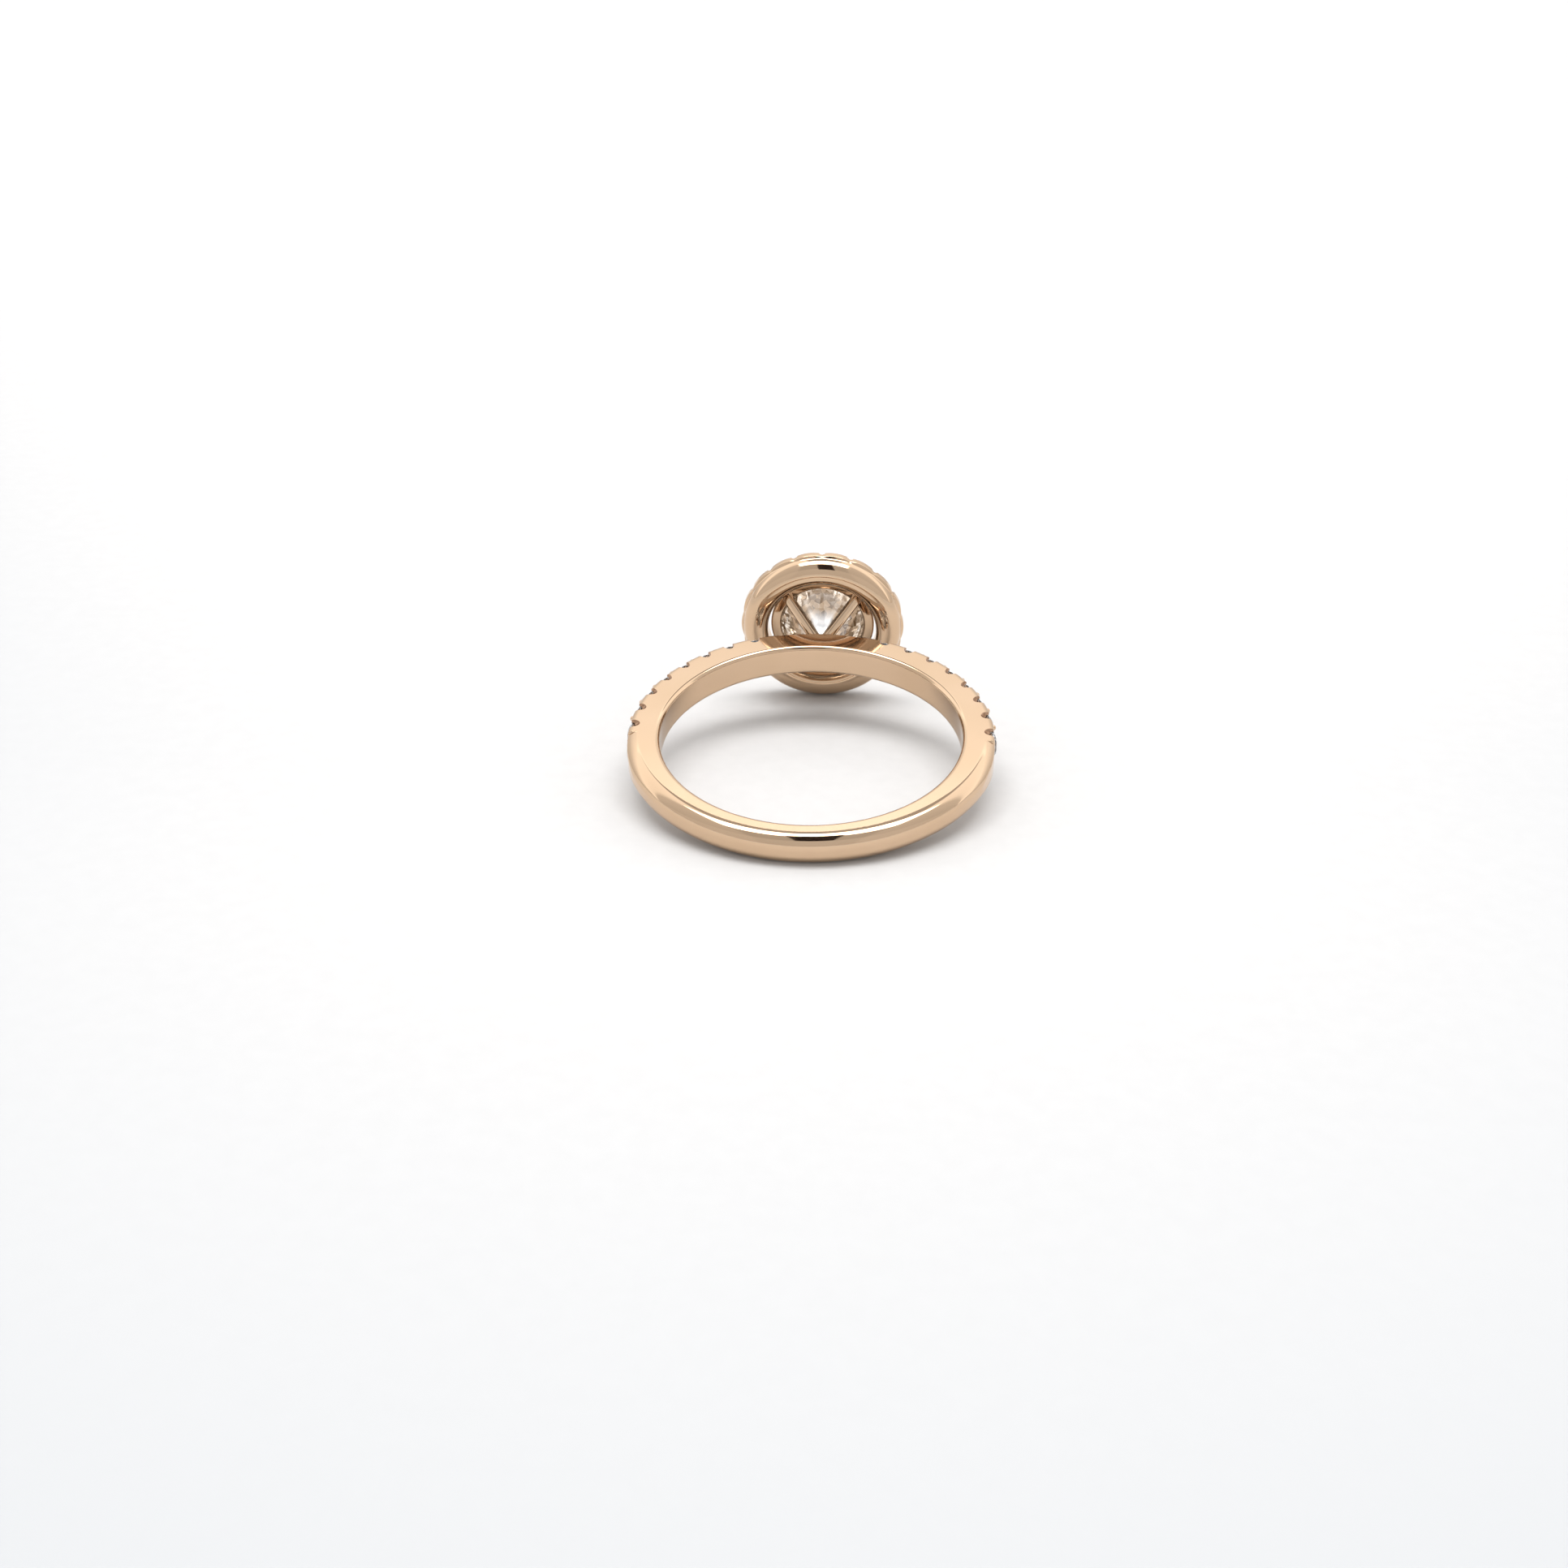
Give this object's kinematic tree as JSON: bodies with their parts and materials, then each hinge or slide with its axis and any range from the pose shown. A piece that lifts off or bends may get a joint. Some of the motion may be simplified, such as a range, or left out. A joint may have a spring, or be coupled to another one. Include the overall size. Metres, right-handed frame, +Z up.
{
  "type": "engagement ring",
  "caption": "Engagement ring with a round centre stone in four prongs with a seat ring, a halo of small stones around it and stones set along both shoulders of a slim shank.",
  "frame": {"origin": "middle of the ring's box, on the ground it rests on", "axes": "+Z up, +Y from the back of the shank to the head, X across the ring; the finger hole's axis leans 10.42 degrees from +Z towards -Y"},
  "size_m": [0.0202, 0.0234, 0.0094],
  "materials": {
    "rose_gold": "mirror-polished rose gold alloy with fine handling marks",
    "diamond": "clear colourless cut stone with polished facets"
  },
  "bodies": {
    "root": {"ring_mount": "rose_gold", "centre_stone": "diamond", "halo_stone_1": "diamond", "halo_stone_2": "diamond", "halo_stone_3": "diamond", "halo_stone_4": "diamond", "halo_stone_5": "diamond", "halo_stone_6": "diamond", "halo_stone_7": "diamond", "halo_stone_8": "diamond", "halo_stone_9": "diamond", "halo_stone_10": "diamond", "halo_stone_11": "diamond", "halo_stone_12": "diamond", "halo_stone_13": "diamond", "halo_stone_14": "diamond", "halo_stone_15": "diamond", "halo_stone_16": "diamond", "halo_stone_17": "diamond", "halo_stone_18": "diamond", "shoulder_stone_left_1": "diamond", "shoulder_stone_left_2": "diamond", "shoulder_stone_left_3": "diamond", "shoulder_stone_left_4": "diamond", "shoulder_stone_left_5": "diamond", "shoulder_stone_left_6": "diamond", "shoulder_stone_left_7": "diamond", "shoulder_stone_left_8": "diamond", "shoulder_stone_right_1": "diamond", "shoulder_stone_right_2": "diamond", "shoulder_stone_right_3": "diamond", "shoulder_stone_right_4": "diamond", "shoulder_stone_right_5": "diamond", "shoulder_stone_right_6": "diamond", "shoulder_stone_right_7": "diamond", "shoulder_stone_right_8": "diamond"}
  },
  "joints": []
}
